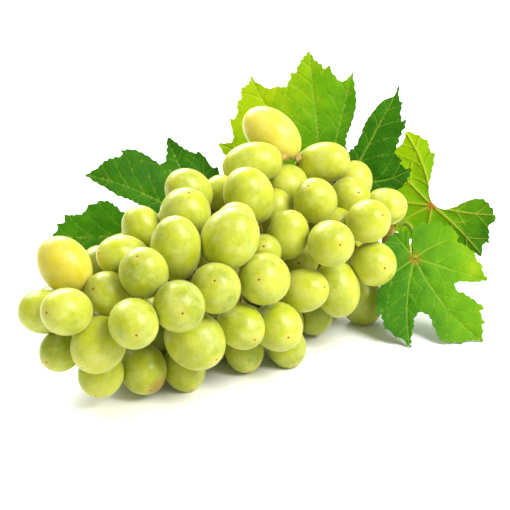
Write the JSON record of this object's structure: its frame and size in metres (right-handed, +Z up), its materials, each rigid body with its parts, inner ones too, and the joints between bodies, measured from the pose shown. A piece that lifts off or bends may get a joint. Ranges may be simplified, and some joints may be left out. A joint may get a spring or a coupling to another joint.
{
  "type": "bunch of grapes",
  "caption": "Bunch of white table grapes lying on its side, with its branching stem, lobed leaves and a stub of cane.",
  "frame": {"origin": "middle of the bunch's underside, on the surface it lies on", "axes": "+X along the bunch from its tip towards its stem end, +Z up, -Y towards the side it shows"},
  "size_m": [0.2198, 0.1804, 0.1179],
  "materials": {
    "skin": "satin waxy grape skin, yellow-green",
    "skin_gold": "satin waxy grape skin, riper golden yellow",
    "skin_shade": "satin waxy grape skin, olive green",
    "stem": "matt green-brown stalk",
    "leaf": "satin leaf, upper side",
    "leaf_underside": "matt leaf, underside out",
    "cane": "matt ochre bark"
  },
  "bodies": {
    "root": {"berries_back_low": "skin_shade", "berries_back_middle": "skin_shade", "berries_back_top": "skin_shade", "berries_under": "skin_shade", "berry_between_1": "skin", "berry_between_2": "skin", "berry_between_3": "skin", "berry_between_4": "skin", "berry_between_5": "skin", "berry_between_6": "skin", "berry_end_inner": "skin", "berry_end_right": "skin", "berry_front_1": "skin", "berry_front_10": "skin", "berry_front_11": "skin", "berry_front_12": "skin", "berry_front_2": "skin", "berry_front_3": "skin", "berry_front_4": "skin", "berry_front_5": "skin", "berry_front_6": "skin", "berry_front_7": "skin", "berry_front_8": "skin", "berry_front_9": "skin", "berry_rest_1": "skin", "berry_rest_2": "skin", "berry_rest_3": "skin", "berry_rest_4": "skin", "berry_rest_5": "skin", "berry_tip_end": "skin", "berry_tip_front": "skin", "berry_tip_gold": "skin_gold", "berry_tip_low": "skin", "berry_tip_low_left": "skin", "berry_top_back": "skin", "berry_top_gold": "skin_gold", "berry_top_long": "skin", "berry_top_right": "skin", "berry_upper_1": "skin", "berry_upper_10": "skin", "berry_upper_11": "skin", "berry_upper_12": "skin", "berry_upper_13": "skin", "berry_upper_14": "skin", "berry_upper_15": "skin", "berry_upper_2": "skin", "berry_upper_3": "skin", "berry_upper_4": "skin", "berry_upper_5": "skin", "berry_upper_6": "skin", "berry_upper_7": "skin", "berry_upper_8": "skin", "berry_upper_9": "skin", "cane": "cane", "leaf_back": "leaf", "leaf_front": "leaf", "leaf_left": "leaf", "leaf_right": "leaf_underside", "leaf_upper_right": "leaf", "rachis": "stem"}
  },
  "joints": []
}
